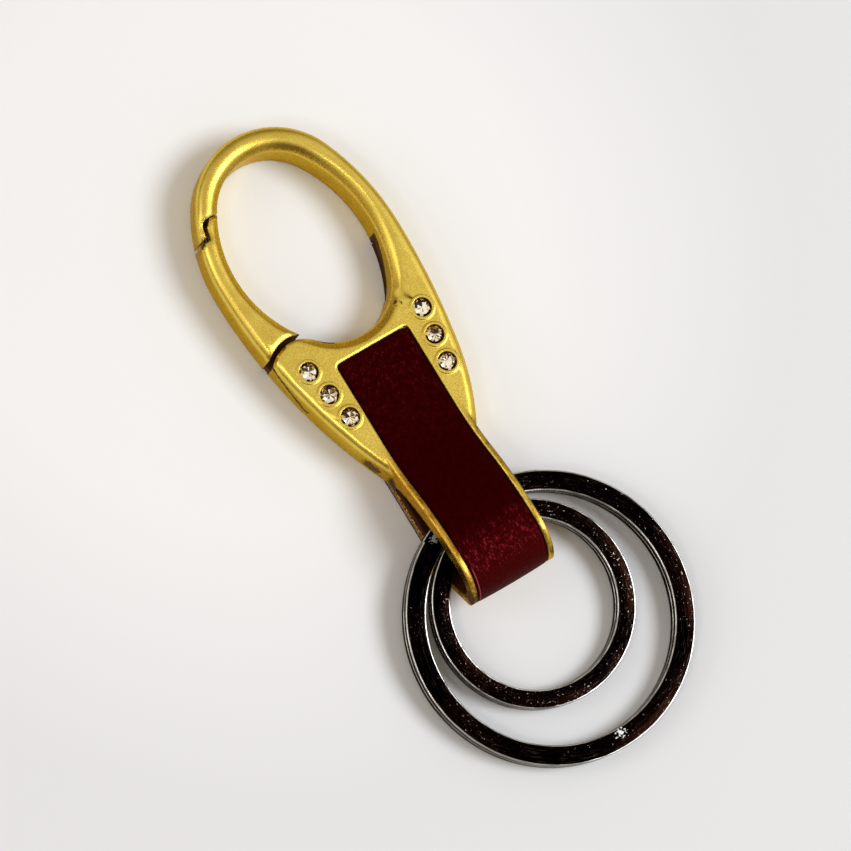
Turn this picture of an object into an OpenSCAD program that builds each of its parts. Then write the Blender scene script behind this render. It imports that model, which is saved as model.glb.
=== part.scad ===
// Spring hook key holder with a leather strap loop and two split rings.
// Millimetres, Z up, back face on Z zero, Y towards the top of the hook.
// The origin lies on the back face below the middle of the leather's top edge.

/* [Body] */
// Thickness of the body and of the hook bar
body_thickness = 6; // [5:0.1:8]
// Radius of the hook's crown, outside
crown_radius = 9.95; // [9.5:0.05:11]
// Sideways place of the crown's centre
crown_x = -0.75; // [-1.5:0.05:0]
// Height of the crown's centre along Y
crown_y = 19.65; // [18.5:0.05:21]
// Angle at which the crown runs into the right side
crown_right_angle = 24.1; // [20:0.1:28]
// Angle at which the crown runs into the left side
crown_left_angle = 147.2; // [142:0.1:152]
// Radius of the right side beside the opening
right_side_radius = 30; // [26:0.5:36]
// Radius of the right flank below the opening
right_flank_radius = 90; // [70:1:110]
// Angle swept by the right flank
right_flank_angle = 10.5; // [9:0.1:12]
// Radius where the right flank turns in to the strap
right_heel_radius = 30; // [26:0.5:34]
// Radius of the left side beside the opening
left_side_radius = 20; // [18:0.5:24]
// Radius of the left flank below the opening
left_flank_radius = 66; // [55:1:80]
// Angle swept by the left flank
left_flank_angle = 20; // [18:0.1:22]
// Radius where the left flank turns in to the strap
left_heel_radius = 60; // [50:1:64]
// Radius of the hollow where the heel meets the strap
heel_fillet = 0.8; // [0.5:0.05:1.2]
// Rounding of the outer edges on the front
front_round = 1.1; // [0.6:0.05:1.4]
// Rounding of the outer edges on the back
back_round = 1.7; // [1.2:0.05:1.8]
// How far the body blank reaches down under the strap
blank_end = 15.9; // [15.5:0.1:16.5]

/* [Opening] */
// Radius of both round ends of the opening
opening_end_radius = 7.4; // [6.8:0.05:8]
// Sideways place of the upper end's centre
opening_top_x = -0.9; // [-1.5:0.05:0]
// Place of the upper end's centre along Y
opening_top_y = 19.3; // [18.5:0.05:20]
// Sideways place of the lower end's centre
opening_bottom_x = 0; // [-0.5:0.05:0.5]
// Place of the lower end's centre along Y
opening_bottom_y = 9.25; // [9:0.05:10]
// Radius of the opening's left side
opening_left_radius = 15.3; // [14:0.1:17]
// Radius of the opening's right side
opening_right_radius = 18; // [16:0.1:21]
// Bevel round the opening on the front
opening_front_bevel = 0.9; // [0.5:0.05:1.1]
// Bevel round the opening on the back
opening_back_bevel = 0.5; // [0.2:0.05:0.8]
// Depth of the relief in the right wall of the opening
relief_depth = 1.2; // [0.8:0.05:1.5]
// Height of that relief from the back
relief_height = 1.8; // [1.2:0.1:2.4]
// Angle at which the relief starts, below the middle
relief_start_angle = -31; // [-33:0.5:-28]
// Angle at which the relief ends, below the middle
relief_end_angle = -7; // [-10:0.5:-4]

/* [Hook gate] */
// Sideways place of the hook gate's pivot
gate_pivot_x = -8.2; // [-8.4:0.05:-8]
// Place of the hook gate's pivot along Y
gate_pivot_y = 0.9; // [0.7:0.05:1.1]
// Radius of the gate's hollow lower end
gate_end_radius = 4.95; // [4.8:0.05:5.2]
// Width of the shallow ledge on the front of the cheek
cheek_ledge = 0.28; // [0.1:0.02:0.5]
// Depth of that ledge
cheek_ledge_depth = 0.55; // [0.3:0.05:0.9]
// Radius of the tongue in the body's slot
tongue_radius = 3.9; // [3.7:0.05:4]
// Gap between the tongue's rim and its slot
tongue_rim_gap = 0.15; // [0.1:0.01:0.25]
// Height of the tongue's lower face
tongue_z = 2; // [1.8:0.05:2.2]
// Thickness of the tongue
tongue_thickness = 1.55; // [1.3:0.05:1.8]
// Gap on each face of the tongue
tongue_face_gap = 0.05; // [0.03:0.01:0.1]
// Radius that the neck of the tongue sweeps
neck_sweep_radius = 5.2; // [5:0.05:5.4]
// Distance of the neck's side from the pivot
neck_side = 1.35; // [1.2:0.05:1.5]
// Angle at which the swept part of the slot starts
sweep_start_angle = 32; // [28:1:34]
// Distance of the tongue's heel from the pivot
heel_drop = 1; // [0.8:0.05:1.2]
// Radius of the hook gate's pin
gate_pin_radius = 0.9; // [0.7:0.05:1]
// Gap between pin and tongue
gate_pin_gap = 0.04; // [0.02:0.01:0.1]
// Height of the pin's lower end
gate_pin_z = 0.1; // [0.05:0.05:0.3]
// Height of the pin's upper end
gate_pin_top = 4.5; // [4.2:0.05:4.6]
// Distance of the hook's lip from the middle
lip_x = 10.3; // [10.1:0.05:10.5]
// Place of the lip's end along Y, inside
lip_end_y = 20.85; // [20.7:0.05:21]
// Drop of the lip's end towards the outer wall
lip_bevel = 0.36; // [0.2:0.02:0.45]
// Run of that drop
lip_bevel_run = 1.3; // [1.1:0.1:1.6]
// Height of the finger's recess above the lip's end
recess_height = 1.9; // [1.7:0.05:2.1]
// Inset of the recess towards the opening, halfway up
recess_inset = 0.55; // [0.4:0.05:0.7]
// Place of the gate's shoulder along Y
shoulder_y = 20.22; // [20.1:0.02:20.3]
// Distance of the finger from the middle at its foot
finger_x = 10; // [9.9:0.02:10.05]
// Inset of the finger's outer side at its shoulder
finger_inset = 0.4; // [0.3:0.02:0.5]
// Height of the finger above the shoulder
finger_height = 1.7; // [1.5:0.05:1.8]
// Gap between the gate's tip and the recess, beside the opening
tip_gap = 0.15; // [0.1:0.01:0.25]
// Width of that tip, from the finger's outer side
tip_setback = 1.2; // [1:0.05:1.4]

/* [Gate spring] */
// Sideways place of the spring's bore
spring_bore_x = -6.2; // [-6.3:0.05:-6.1]
// Height of the bore's centre
spring_bore_z = 2.78; // [2.7:0.02:2.85]
// Radius of the spring's bore
spring_bore_radius = 0.9; // [0.85:0.01:0.95]
// Place of the bore's closed end, below the origin
spring_seat_y = 7; // [6.5:0.1:7.5]
// Radius of the coil's middle line
gate_coil_radius = 0.62; // [0.55:0.01:0.66]
// Radius of the gate spring's wire
gate_wire_radius = 0.14; // [0.1:0.01:0.16]
// Gap at each end of the gate spring
spring_end_gap = 0.03; // [0.02:0.01:0.1]

/* [Stones] */
// Radius of a stone
stone_radius = 1.12; // [1:0.02:1.16]
// Gap between a stone and its seat
stone_gap = 0.06; // [0.03:0.01:0.1]
// Depth of a stone's seat
seat_depth = 1.1; // [1:0.05:1.2]
// Depth of the stone's point under its girdle
stone_pavilion = 0.7; // [0.6:0.02:0.74]
// Height of the stone's table over its girdle
stone_crown = 0.34; // [0.2:0.02:0.5]
// Drop of the girdle below the front face
girdle_drop = 0.22; // [0.15:0.01:0.3]
// Width of the raised rim round a seat
rim_width = 0.32; // [0.2:0.02:0.45]
// Height of that rim
rim_height = 0.14; // [0.08:0.01:0.25]
// Place along Y of the first stones
stones_y = 1.12; // [0.9:0.02:1.3]
// Step along Y from stone to stone
stone_step_y = 3.49; // [3.2:0.01:3.8]
// Sideways place of the first left stone
left_stone_x = -8.22; // [-8.4:0.02:-8]
// Sideways step to the next left stone
left_stone_step = 0.72; // [0.5:0.01:0.9]
// Sideways place of the first right stone
right_stone_x = 7.67; // [7.5:0.02:7.8]
// Sideways step to the next right stone
right_stone_step = 0.41; // [0.3:0.01:0.5]

/* [Strap] */
// Half width of the strap channel
strap_half_width = 5.7; // [5.5:0.05:6]
// Place along Y where the strap starts to rise
rise_start = 10; // [9.5:0.1:10.5]
// Place along Y of the strap's highest point
rise_end = 26.9; // [26.5:0.1:27.5]
// Rise of the strap over the body
strap_rise = 3.4; // [3:0.05:3.8]
// Radius of the hollow at the start of the rise
rise_radius = 19; // [17:0.5:21]
// Radius of the strap's round end
strap_end_radius = 5.1; // [4.9:0.05:5.3]
// Angle where the round end turns in
strap_turn_angle = 172; // [168:1:176]
// Radius of that turn
strap_turn_radius = 1.6; // [1.4:0.05:1.9]
// Angle of the slope under the turn
strap_slope_angle = 228; // [225:0.5:231]
// Radius where the slope meets the back face
strap_foot_radius = 1; // [0.8:0.05:1.2]
// Thickness of the strap channel at its highest point
strap_wall = 2.2; // [2.1:0.05:2.5]
// Thickness of the channel on the slope
slope_wall = 1.2; // [1.1:0.05:1.4]
// Radius inside the loop's far end
loop_end_radius = 2; // [1.8:0.05:2.2]
// Radius inside the loop's near end
loop_root_radius = 2.5; // [2.3:0.05:2.7]
// Height of the centre of that near end
loop_root_z = 1.85; // [1.7:0.05:2]
// Place along Y of the loop's near wall
loop_root_y = 15.1; // [15:0.05:15.3]
// Distance of the loop's lip end from under the strap's highest point
loop_lip_setback = 0.9; // [0.8:0.05:1]
// Distance of the step behind that lip, past the same point
loop_step_reach = 0.25; // [0.2:0.02:0.35]
// Height of the loop's lip
loop_lip_z = 0.8; // [0.7:0.05:0.85]

/* [Leather] */
// Half width of the leather
leather_half_width = 5; // [4.8:0.05:5.1]
// Depth of the leather's channel
channel_depth = 1; // [0.8:0.05:1.1]
// Gap between leather and channel
leather_gap = 0.05; // [0.03:0.01:0.1]
// Height of the leather over the rails at its middle
leather_swell = 0.12; // [0.05:0.01:0.25]
// Rounding of the leather's long edges
leather_round = 0.45; // [0.3:0.05:0.6]
// Place of the leather's top edge above the origin
leather_top_y = 0.2; // [0:0.05:0.4]
// Rounding of the leather's top corners
leather_corner = 0.6; // [0.4:0.05:0.9]
// Angle on the round end at which the leather stops
leather_end_angle = 176; // [172:0.5:180]

/* [Ring gate] */
// Half width of the ring gate
ring_gate_half_width = 5.6; // [5.4:0.05:5.65]
// Thickness of the ring gate's bar
ring_gate_thickness = 1.7; // [1.5:0.05:1.8]
// Place along Y of the ring gate's hinge
hinge_y = 13.7; // [13.6:0.05:13.8]
// Height of the hinge and radius of its knuckles
knuckle_radius = 2; // [1.9:0.05:2.05]
// Gap round the knuckles
knuckle_gap = 0.12; // [0.1:0.01:0.2]
// Sideways start of the knuckles
knuckle_x = 3.3; // [3.2:0.05:3.5]
// Gap between the knuckles and the lugs
lug_gap = 0.1; // [0.05:0.01:0.15]
// Half width of the pocket between the lugs
pocket_half_width = 2.1; // [2:0.05:2.2]
// Radius of the pocket round the torsion spring
pocket_radius = 1.9; // [1.8:0.05:2]
// Gap between the ring gate's tip and the loop's step
ring_gate_tip_gap = 0.15; // [0.1:0.01:0.2]
// Gap between the bar and the loop's lip
lap_gap = 0.12; // [0.1:0.01:0.2]
// Height gap over the loop's lip
lap_height_gap = 0.04; // [0.03:0.01:0.1]
// Rounding of the bar's long edges
ring_gate_round = 0.4; // [0.2:0.05:0.6]
// Gap between the bar and the lugs
bar_lug_gap = 0.2; // [0.15:0.01:0.3]
// Gap between the knuckles and the side walls that hide them
hinge_side_gap = 0.15; // [0.12:0.01:0.2]
// Radius of the ring gate's pin
hinge_pin_radius = 0.6; // [0.5:0.05:0.7]
// Gap between that pin and the knuckles
hinge_pin_gap = 0.04; // [0.02:0.01:0.1]
// Setback of the pin's ends from the knuckles' faces
hinge_pin_setback = 0.1; // [0.05:0.01:0.2]
// Radius of the torsion spring's middle line
torsion_radius = 1.1; // [1:0.02:1.2]
// Radius of the torsion spring's wire
torsion_wire = 0.15; // [0.12:0.01:0.18]
// Step of the torsion spring from curl to curl
torsion_pitch = 0.76; // [0.72:0.01:0.8]
// Length of the leg that presses on the bar
torsion_leg = 4.2; // [3.8:0.1:4.6]

/* [Rings] */
// Outer radius of the large ring
big_ring_radius = 17.5; // [16:0.1:19]
// Width of the large ring's wire
big_ring_width = 2.45; // [2.2:0.05:2.5]
// Thickness of the large ring's two coils together
big_ring_thickness = 2.3; // [2.1:0.05:2.5]
// Sideways place of the large ring's centre
big_ring_x = 2.2; // [1.8:0.1:2.4]
// Distance of the large ring's centre past the strap's highest point
big_ring_hang = 10.85; // [10.75:0.05:10.95]
// Outer radius of the small ring
small_ring_radius = 12.4; // [12:0.1:12.8]
// Width of the small ring's wire
small_ring_width = 2.25; // [2.1:0.05:2.35]
// Thickness of the small ring's two coils together
small_ring_thickness = 2.05; // [1.9:0.05:2.2]
// Sideways place of the small ring's centre
small_ring_x = 1.35; // [1:0.05:1.6]
// Distance of the small ring's centre past the strap's highest point
small_ring_hang = 8.4; // [8.3:0.02:8.6]
// Bevel of the rings' edges
ring_bevel = 0.14; // [0.1:0.01:0.3]
// Gap between the two coils of a ring
coil_gap = 0.06; // [0.04:0.01:0.1]
// Angle of the crossing from one coil to the other
crossing_angle = 24; // [18:1:32]
// Angle round the large ring where the crossing starts
big_start_angle = 96; // [84:1:100]
// Angle round the small ring where the crossing starts
small_start_angle = 80; // [70:1:90]
// Height of the large ring's rest over the ring gate
ring_rest_gap = 0.12; // [0.1:0.01:0.2]
// Height of the small ring's rest over the loop's slope
small_rest_gap = 0.18; // [0.15:0.01:0.25]

/* [Hidden] */
$fn = 64;
overrun = body_thickness / 4;
weld = body_thickness / 200;

function unit(a) = [cos(a), sin(a)];
function angle_of(v) = atan2(v[1], v[0]);
function arc(c, r, a, b, n) = [for (i = [0:n - 1]) c + r * unit(a + (b - a) * i / n)];
function arc_end(c, r, a, b, n) = [for (i = [0:n]) c + r * unit(a + (b - a) * i / n)];

// Outline of the body, as arcs that run into each other
crown = [crown_x, crown_y];
right_side = crown - (right_side_radius - crown_radius) * unit(crown_right_angle);
right_flank = right_side - [right_flank_radius - right_side_radius, 0];
right_heel = right_flank + (right_flank_radius - right_heel_radius) * unit(-right_flank_angle);
right_fillet_x = strap_half_width + heel_fillet;
right_fillet = [right_fillet_x, right_heel[1]
  - sqrt(pow(right_heel_radius + heel_fillet, 2) - pow(right_fillet_x - right_heel[0], 2))];
right_heel_angle = angle_of(right_fillet - right_heel);
left_side = crown - (left_side_radius - crown_radius) * unit(crown_left_angle);
left_flank = left_side + [left_flank_radius - left_side_radius, 0];
left_turn_angle = 180 + left_flank_angle;
left_heel = left_flank + (left_flank_radius - left_heel_radius) * unit(left_turn_angle);
left_fillet = [-right_fillet_x, left_heel[1]
  - sqrt(pow(left_heel_radius + heel_fillet, 2) - pow(right_fillet_x + left_heel[0], 2))];
left_heel_angle = 360 + angle_of(left_fillet - left_heel);

function outline(s) = concat(
  [[strap_half_width - s, -blank_end]],
  arc(right_fillet, heel_fillet + s, 180, 180 + right_heel_angle, 4),
  arc(right_heel, right_heel_radius - s, right_heel_angle, -right_flank_angle, 6),
  arc(right_flank, right_flank_radius - s, -right_flank_angle, 0, 7),
  arc(right_side, right_side_radius - s, 0, crown_right_angle, 8),
  arc(crown, crown_radius - s, crown_right_angle, crown_left_angle, 24),
  arc(left_side, left_side_radius - s, crown_left_angle, 180, 9),
  arc(left_flank, left_flank_radius - s, 180, left_turn_angle, 10),
  arc(left_heel, left_heel_radius - s, left_turn_angle, left_heel_angle, 5),
  arc_end(left_fillet, heel_fillet + s, left_heel_angle - 180, 0, 4),
  [[s - strap_half_width, -blank_end]]);

// Outline of the opening, grown by e
opening_top = [opening_top_x, opening_top_y];
opening_bottom = [opening_bottom_x, opening_bottom_y];
opening_half = norm(opening_top - opening_bottom) / 2;
opening_mid = (opening_top + opening_bottom) / 2;
opening_line = angle_of(opening_top - opening_bottom);
opening_left = opening_mid + unit(opening_line - 90)
  * sqrt(pow(opening_left_radius - opening_end_radius, 2) - pow(opening_half, 2));
opening_right = opening_mid - unit(opening_line - 90)
  * sqrt(pow(opening_right_radius - opening_end_radius, 2) - pow(opening_half, 2));
angle_right_low = angle_of(opening_bottom - opening_right);
angle_right_high = angle_of(opening_top - opening_right);
angle_left_high = angle_of(opening_top - opening_left);
angle_left_low = 360 + angle_of(opening_bottom - opening_left);

function opening(e) = concat(
  arc(opening_right, opening_right_radius + e, angle_right_low, angle_right_high, 12),
  arc(opening_top, opening_end_radius + e, angle_right_high, angle_left_high, 20),
  arc(opening_left, opening_left_radius + e, angle_left_high, angle_left_low, 18),
  arc(opening_bottom, opening_end_radius + e, angle_left_low, 360 + angle_right_low, 20));

// A closed skin over stacked outlines that have the same number of points
module stack(layers) {
  n = len(layers[0]);
  m = len(layers);
  polyhedron(
    points = [for (l = layers) for (p = l) p],
    faces = concat(
      [[for (i = [0:n - 1]) i]],
      [[for (i = [0:n - 1]) m * n - 1 - i]],
      [for (j = [0:m - 2]) for (i = [0:n - 1]) [j * n + i, (j + 1) * n + i, (j + 1) * n + (i + 1) % n]],
      [for (j = [0:m - 2]) for (i = [0:n - 1]) [j * n + i, (j + 1) * n + (i + 1) % n, j * n + (i + 1) % n]]));
}

function lift(pts, z) = [for (p = pts) [p[0], p[1], z]];

module blank() {
  k = 4;
  stack(concat(
    [for (i = [0:k]) lift(outline(back_round * (1 - sin(90 * i / k))), back_round * (1 - cos(90 * i / k)))],
    [for (i = [0:k]) lift(outline(front_round * (1 - cos(90 * i / k))),
      body_thickness - front_round * (1 - sin(90 * i / k)))]));
}

module opening_cut() {
  stack([
    lift(opening(opening_back_bevel + overrun), -overrun),
    lift(opening(0), opening_back_bevel),
    lift(opening(0), body_thickness - opening_front_bevel),
    lift(opening(opening_front_bevel + overrun), body_thickness + overrun)]);
}

// Hook gate
pivot = [gate_pivot_x, gate_pivot_y];
cheek_radius = norm(pivot - opening_bottom) - opening_end_radius;
cheek_angle = angle_of(opening_bottom - pivot);
gate_window_x = pivot[0] + cheek_radius * cos(cheek_angle);
outer_x = crown_radius * 2;

module pivot_disc(r, z0, z1) {
  translate([gate_pivot_x, gate_pivot_y, z0]) cylinder(r = r, h = z1 - z0);
}

module plate(pts, z0, z1) {
  translate([0, 0, z0]) linear_extrude(height = z1 - z0) polygon(pts);
}

recess_top = lip_end_y + recess_height;
window_points = [
  [gate_window_x, gate_pivot_y],
  [gate_window_x, recess_top],
  [-lip_x + recess_inset * 2, recess_top],
  [-lip_x + recess_inset, recess_top - recess_height * 0.11],
  [-lip_x + recess_inset * 0.5, recess_top - recess_height * 0.32],
  [-lip_x + recess_inset * 0.2, recess_top - recess_height * 0.6],
  [-lip_x, recess_top - recess_height * 0.85],
  [-lip_x, lip_end_y],
  [-lip_x - lip_bevel_run, lip_end_y - lip_bevel],
  [-outer_x, lip_end_y - lip_bevel],
  [-outer_x, gate_pivot_y]];
gate_points = [
  [gate_window_x, gate_pivot_y],
  [gate_window_x, recess_top - tip_gap],
  [-finger_x + tip_setback, recess_top - tip_gap],
  [-finger_x + finger_inset * 1.6, shoulder_y + finger_height],
  [-finger_x + finger_inset, shoulder_y + finger_height * 0.9],
  [-finger_x, shoulder_y],
  [-outer_x, shoulder_y],
  [-outer_x, gate_pivot_y]];

neck_points = [
  [gate_pivot_x + neck_side, gate_pivot_y],
  [gate_pivot_x + neck_side, gate_pivot_y + gate_end_radius * 2],
  [-outer_x, gate_pivot_y + gate_end_radius * 2],
  [-outer_x, gate_pivot_y]];
tongue_top = tongue_z + tongue_thickness;
slot_radius = tongue_radius + tongue_rim_gap;
seat_floor = body_thickness - seat_depth;

module frame_solid() {
  difference() {
    union() {
      difference() {
        blank();
        opening_cut();
        difference() {
          plate(window_points, -overrun, body_thickness + overrun);
          pivot_disc(cheek_radius, -overrun * 2, body_thickness + overrun * 2);
        }
      }
      strap_block();
      for (s = stones) {
        translate([s[0], s[1], seat_floor]) cylinder(r = stone_radius + stone_gap + rim_width, h = seat_depth + rim_height);
      }
    }
    loop_void();
    leather_channel();
    hinge_space();
    gate_slot();
    relief_cut();
    for (s = stones) {
      translate([s[0], s[1], seat_floor]) cylinder(r = stone_radius + stone_gap, h = seat_depth + overrun);
    }
  }
}

module frame() {
  color([0.8, 0.66, 0.2]) frame_solid();
}

module gate_slot() {
  z0 = tongue_z - tongue_face_gap;
  z1 = tongue_top + tongue_face_gap;
  pivot_disc(slot_radius, z0, z1);
  translate([gate_pivot_x, gate_pivot_y, z0]) rotate([0, 0, sweep_start_angle])
    rotate_extrude(angle = 180 - sweep_start_angle)
    translate([gate_pin_radius * 2, 0]) square([neck_sweep_radius - gate_pin_radius * 2, z1 - z0]);
  pivot_disc(gate_pin_radius, gate_pin_z - overrun, gate_pin_top);
  translate([spring_bore_x, -spring_seat_y, spring_bore_z]) rotate([-90, 0, 0])
    cylinder(r = spring_bore_radius, h = spring_seat_y - heel_drop);
  translate([gate_pivot_x, gate_pivot_y, body_thickness - cheek_ledge_depth])
    rotate([0, 0, 100]) rotate_extrude(angle = 90) translate([cheek_radius - cheek_ledge, 0])
      square([cheek_ledge * 2, cheek_ledge_depth + overrun]);
}

module relief_cut() {
  translate([opening_right[0], opening_right[1], -overrun]) rotate([0, 0, relief_start_angle])
    rotate_extrude(angle = relief_end_angle - relief_start_angle)
      translate([opening_right_radius - relief_depth, 0]) square([relief_depth * 2, relief_height + overrun]);
}

module hook_gate() {
  color([0.8, 0.66, 0.2]) difference() {
    intersection() {
      blank();
      union() {
        difference() {
          plate(gate_points, -overrun, body_thickness + overrun);
          pivot_disc(gate_end_radius, -overrun * 2, body_thickness + overrun * 2);
        }
        difference() {
          union() {
            pivot_disc(tongue_radius, tongue_z, tongue_top);
            intersection() {
              plate(neck_points, tongue_z, tongue_top);
              pivot_disc(gate_end_radius + weld * 4, tongue_z, tongue_top);
            }
          }
          translate([gate_pivot_x, gate_pivot_y - heel_drop - tongue_radius * 2, tongue_z - overrun])
            cube([tongue_radius * 2, tongue_radius * 2, tongue_thickness + overrun * 2]);
        }
      }
    }
    opening_cut();
    pivot_disc(gate_pin_radius + gate_pin_gap, tongue_z - overrun, tongue_top + overrun);
  }
}

module gate_pin() {
  color([0.6, 0.6, 0.6]) pivot_disc(gate_pin_radius, gate_pin_z, gate_pin_top);
}

// A round wire along a path, one ring of points at each step
wire_sides = 6;
function cross3(a, b) = [a[1] * b[2] - a[2] * b[1], a[2] * b[0] - a[0] * b[2], a[0] * b[1] - a[1] * b[0]];
function flat_unit(v) = v / norm(v);
function tangent(path, i) = flat_unit(path[min(i + 1, len(path) - 1)] - path[max(i - 1, 0)]);
function wire_ring(c, t, out, r) = let (u = flat_unit(out - t * (out * t)), w = cross3(t, u))
  [for (k = [0:wire_sides - 1]) c + r * (u * cos(360 * k / wire_sides) + w * sin(360 * k / wire_sides))];

module wire(path, outs, r) {
  stack([for (i = [0:len(path) - 1]) wire_ring(path[i], -tangent(path, i), outs[i], r)]);
}

heel_y = gate_pivot_y - heel_drop;
spring_low = -spring_seat_y + spring_end_gap + gate_wire_radius;
spring_high = heel_y - spring_end_gap - gate_wire_radius;
gate_curls = 8;
gate_steps = gate_curls * 8;
gate_path = [for (i = [0:gate_steps]) let (a = 360 * gate_curls * i / gate_steps)
  [spring_bore_x + gate_coil_radius * cos(a), spring_low + (spring_high - spring_low) * i / gate_steps,
   spring_bore_z + gate_coil_radius * sin(a)]];
gate_outs = [for (i = [0:gate_steps]) let (a = 360 * gate_curls * i / gate_steps) [cos(a), 0, sin(a)]];

module gate_spring() {
  color([0.6, 0.6, 0.6]) wire(gate_path, gate_outs, gate_wire_radius);
}

// Stones
stones = [for (i = [0:2]) [left_stone_x + left_stone_step * i, stones_y - stone_step_y * i],
          for (i = [0:2]) [right_stone_x - right_stone_step * i, stones_y - stone_step_y * i]];
girdle_z = body_thickness - girdle_drop;
girdle_share = 0.08;
table_share = 0.56;
bezel_share = 0.83;
bezel_height_share = 0.55;

module stone(i) {
  r = stone_radius;
  g = stone_crown * girdle_share;
  ring16 = [for (k = [0:15]) r * unit(22.5 * k)];
  mid = [for (k = [0:15]) r * (k % 2 == 0 ? bezel_share : bezel_share * 0.97) * unit(22.5 * k)];
  top = [for (k = [0:15]) r * table_share * (k % 2 == 0 ? 1 : cos(22.5)) * unit(22.5 * k)];
  low = [for (k = [0:15]) r * 0.04 * unit(22.5 * k)];
  color([0.9, 0.95, 1]) translate([stones[i][0], stones[i][1], girdle_z]) stack([
    lift(low, -stone_pavilion),
    lift(ring16, -g),
    lift(ring16, g),
    lift(mid, stone_crown * bezel_height_share),
    lift(top, stone_crown)]);
}

module crystal_left_1() {
  stone(0);
}

module crystal_left_2() {
  stone(1);
}

module crystal_left_3() {
  stone(2);
}

module crystal_right_1() {
  stone(3);
}

module crystal_right_2() {
  stone(4);
}

module crystal_right_3() {
  stone(5);
}

// Strap, drawn as a side profile in Y and Z
strap_top = body_thickness + strap_rise;
rise_run = rise_end - rise_start;
loop_lip_y = rise_end - loop_lip_setback;
loop_step_y = rise_end + loop_step_reach;
rise_angle = 2 * atan(strap_rise / rise_run);
rise_sum = rise_run / sin(rise_angle);
crest_radius = rise_sum - rise_radius;
rise_centre = [-rise_start, body_thickness + rise_radius];
crest_centre = [-rise_end, strap_top - crest_radius];
end_centre = [-rise_end, strap_top - strap_end_radius];
turn_centre = end_centre + (strap_end_radius - strap_turn_radius) * unit(strap_turn_angle);
turn_point = turn_centre + strap_turn_radius * unit(strap_slope_angle);
slope_way = unit(strap_slope_angle + 90);
foot_z = strap_foot_radius * (1 + sin(strap_slope_angle));
foot_y = turn_point[0] + slope_way[0] * (foot_z - turn_point[1]) / slope_way[1];
foot_centre = [foot_y - strap_foot_radius * cos(strap_slope_angle), strap_foot_radius];

// The top line of the strap, lowered by s
function rise_line(s, n) = arc(rise_centre, rise_radius + s, 270, 270 - rise_angle, n);
function crest_line(s, n) = arc(crest_centre, crest_radius - s, 90 - rise_angle, 90, n);
function end_line(s, b, n) = arc_end(end_centre, strap_end_radius - s, 90, b, n);
function turn_line(s, a, b, n) = arc_end(turn_centre, strap_turn_radius - s, a, b, n);

block_points = concat(
  rise_line(0, 10), crest_line(0, 12), end_line(0, strap_turn_angle, 14),
  turn_line(0, strap_turn_angle + 9, strap_slope_angle, 5),
  arc_end(foot_centre, strap_foot_radius, strap_slope_angle, 270, 4),
  [[-rise_start - overrun * 1.3, 0], [-rise_start, body_thickness / 2]]);

// Inside of the loop
inner_top = strap_top - strap_wall;
root_centre = [-loop_root_y - loop_root_radius, loop_root_z];
root_dy = root_centre[0] + rise_end;
root_dz = inner_top - loop_root_z;
inner_radius = (root_dy * root_dy + root_dz * root_dz - loop_root_radius * loop_root_radius)
  / (2 * (root_dz - loop_root_radius));
inner_centre = [-rise_end, inner_top - inner_radius];
root_angle = angle_of(root_centre - inner_centre);
inner_slope_point = turn_point - slope_wall * unit(strap_slope_angle);
loop_end_z = inner_top - loop_end_radius;
loop_end_y = inner_slope_point[0] + slope_way[0] / slope_way[1]
  * (loop_end_z + loop_end_radius * sin(strap_slope_angle) - inner_slope_point[1])
  - loop_end_radius * cos(strap_slope_angle);
step_z = inner_slope_point[1] + slope_way[1] / slope_way[0] * (-loop_step_y - inner_slope_point[0]);
void_points = concat(
  [[-loop_root_y, -overrun]],
  arc(root_centre, loop_root_radius, 0, root_angle, 8),
  arc(inner_centre, inner_radius, root_angle, 90, 10),
  arc_end([loop_end_y, loop_end_z], loop_end_radius, 90, strap_slope_angle, 10),
  [[-loop_step_y, step_z], [-loop_step_y, loop_lip_z], [-loop_lip_y, loop_lip_z], [-loop_lip_y, -overrun]]);

module side_extrude(pts, x0, x1) {
  translate([x0, 0, 0]) rotate([90, 0, 90]) linear_extrude(height = x1 - x0) polygon(pts);
}

module strap_block() {
  side_extrude(block_points, -strap_half_width, strap_half_width);
}

module loop_void() {
  side_extrude(void_points, -outer_x, outer_x);
}

// Leather channel, open to the front
channel_half = leather_half_width + leather_gap;
leather_rows = concat(rise_line(0, 8), crest_line(0, 12), end_line(0, strap_turn_angle, 14));
channel_points = concat(
  [[leather_top_y + leather_gap, body_thickness - channel_depth]],
  rise_line(channel_depth, 10), crest_line(channel_depth, 12), end_line(channel_depth, leather_end_angle, 14),
  [end_centre + (strap_end_radius + overrun) * unit(leather_end_angle)],
  [[-rise_end - strap_end_radius, strap_top + overrun], [leather_top_y + leather_gap, strap_top + overrun]]);

module leather_channel() {
  intersection() {
    side_extrude(channel_points, -channel_half, channel_half);
    union() {
      translate([-channel_half, -rise_end - strap_end_radius * 2, 0])
        cube([channel_half * 2, rise_end + strap_end_radius * 2 + leather_top_y - leather_corner, strap_top * 2]);
      translate([-channel_half + leather_corner, -rise_end, 0])
        cube([(channel_half - leather_corner) * 2, rise_end + leather_top_y + leather_gap, strap_top * 2]);
      for (m = [-1, 1]) {
        translate([m * (channel_half - leather_corner), leather_top_y + leather_gap - leather_corner, 0])
          cylinder(r = leather_corner, h = strap_top * 2);
      }
    }
  }
}

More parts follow.
